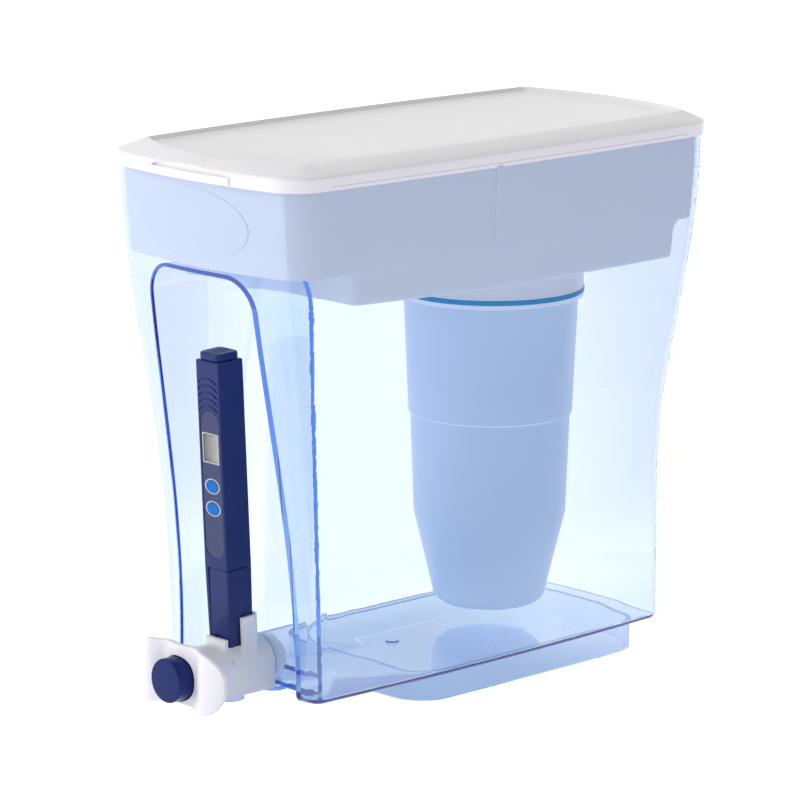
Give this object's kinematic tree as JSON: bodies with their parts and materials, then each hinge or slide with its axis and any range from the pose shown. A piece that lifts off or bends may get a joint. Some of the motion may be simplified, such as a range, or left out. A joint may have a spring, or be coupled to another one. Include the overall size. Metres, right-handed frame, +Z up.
{
  "type": "gravity water filter dispenser",
  "caption": "Free-standing gravity water filter: clear tank on a foot, milky reservoir, screw-in cartridge, lift-off lid, push-button tap and a pen-shaped water meter in a holder.",
  "frame": {"origin": "on the plane the foot stands on, under the middle of the overall length and width", "axes": "+Z up, -Y towards the tap, +X to the right when seen from behind the tank"},
  "size_m": [0.1498, 0.3262, 0.287],
  "materials": {
    "clear_blue_plastic": "clear, polished",
    "milky_plastic": "translucent, smooth",
    "white_lid_plastic": "smooth, glossy",
    "white_tap_plastic": "smooth, glossy",
    "cyan_ring": "smooth",
    "cartridge_plastic": "satin, slightly translucent",
    "white_mesh": "woven mesh",
    "foam": "open-cell foam",
    "carbon": "granular",
    "resin": "fine beads",
    "navy_plastic": "smooth, glossy",
    "navy_button": "smooth, satin",
    "slate_panel": "satin",
    "window": "clear",
    "display": "smooth",
    "cyan_key": "smooth",
    "circuit_board": "solder mask",
    "probe_plastic": "smooth",
    "probe_metal": "brushed",
    "cell_metal": "polished",
    "seal_rubber": "smooth",
    "spring_steel": "drawn wire"
  },
  "bodies": {
    "base": {"tank": "clear_blue_plastic", "tap_body": "white_tap_plastic", "tap_barrel": "clear_blue_plastic", "tap_spring": "spring_steel", "tap_outer_gasket": "seal_rubber", "tap_inner_gasket": "seal_rubber", "tap_nut": "white_tap_plastic"},
    "reservoir": {"reservoir": "milky_plastic"},
    "lid": {"lid": "white_lid_plastic"},
    "cartridge_seal": {"filter_seal": "cyan_ring"},
    "cartridge": {"filter_upper_shell": "cartridge_plastic", "filter_lower_shell": "cartridge_plastic", "filter_inlet_cap": "cartridge_plastic", "filter_coarse_screen": "white_mesh", "filter_foam": "foam", "filter_carbon_bed": "carbon", "filter_resin_bed": "resin", "filter_membrane": "white_mesh", "filter_outlet_screen": "white_mesh"},
    "button": {"tap_button": "navy_button", "tap_stem": "white_tap_plastic", "tap_valve_seal": "seal_rubber"},
    "meter_cap": {"meter_cap": "navy_plastic"},
    "meter": {"meter_front_shell": "navy_plastic", "meter_back_shell": "navy_plastic", "meter_face_panel": "slate_panel", "meter_window": "window", "meter_display": "display", "meter_circuit_board": "circuit_board", "meter_probe_holder": "probe_plastic", "meter_probe_pins": "probe_metal"},
    "power_key": {"meter_power_button": "cyan_key"},
    "hold_key": {"meter_hold_button": "cyan_key"},
    "battery_drawer": {"meter_battery_drawer": "navy_plastic", "meter_cells": "cell_metal"}
  },
  "joints": [
    {"name": "reservoir_lift", "type": "slide", "parent": "base", "child": "reservoir", "axis": [0, 0, 1], "range_m": [0, 0.26]},
    {"name": "lid_lift", "type": "slide", "parent": "reservoir", "child": "lid", "axis": [0, 0, 1], "range_m": [0, 0.06]},
    {"name": "filter_drop", "type": "slide", "parent": "reservoir", "child": "cartridge_seal", "axis": [0, 0, -1], "range_m": [0, 0.003]},
    {"name": "filter_turn", "type": "hinge", "parent": "cartridge_seal", "child": "cartridge", "pos_m": [0, 0.06115, 0.16], "axis": [0, 0, -1], "range_deg": [0, 360]},
    {"name": "button_press", "type": "slide", "parent": "base", "child": "button", "axis": [0, 1, 0], "range_m": [0, 0.006], "stiffness_N_per_m": 500, "springref_m": -0.002, "deforming": ["tap_spring"]},
    {"name": "meter_lift", "type": "slide", "parent": "base", "child": "meter_cap", "axis": [0, -0.0483, 0.9988], "range_m": [0, 0.006]},
    {"name": "meter_pull", "type": "slide", "parent": "meter_cap", "child": "meter", "axis": [0, -0.0483, 0.9988], "range_m": [0, 0.014]},
    {"name": "battery_slide", "type": "slide", "parent": "meter", "child": "battery_drawer", "axis": [0, -0.0483, 0.9988], "range_m": [0, 0.014]},
    {"name": "power_key_press", "type": "slide", "parent": "meter", "child": "power_key", "axis": [0, 0.9988, 0.0483], "range_m": [0, 0.0005], "stiffness_N_per_m": 300, "springref_m": -0.0005},
    {"name": "hold_key_press", "type": "slide", "parent": "meter", "child": "hold_key", "axis": [0, 0.9988, 0.0483], "range_m": [0, 0.0005], "stiffness_N_per_m": 300, "springref_m": -0.0005}
  ],
  "couplings": [
    {"joint": "filter_drop", "follows": "filter_turn", "m_per_rad": 0.00047746}
  ]
}
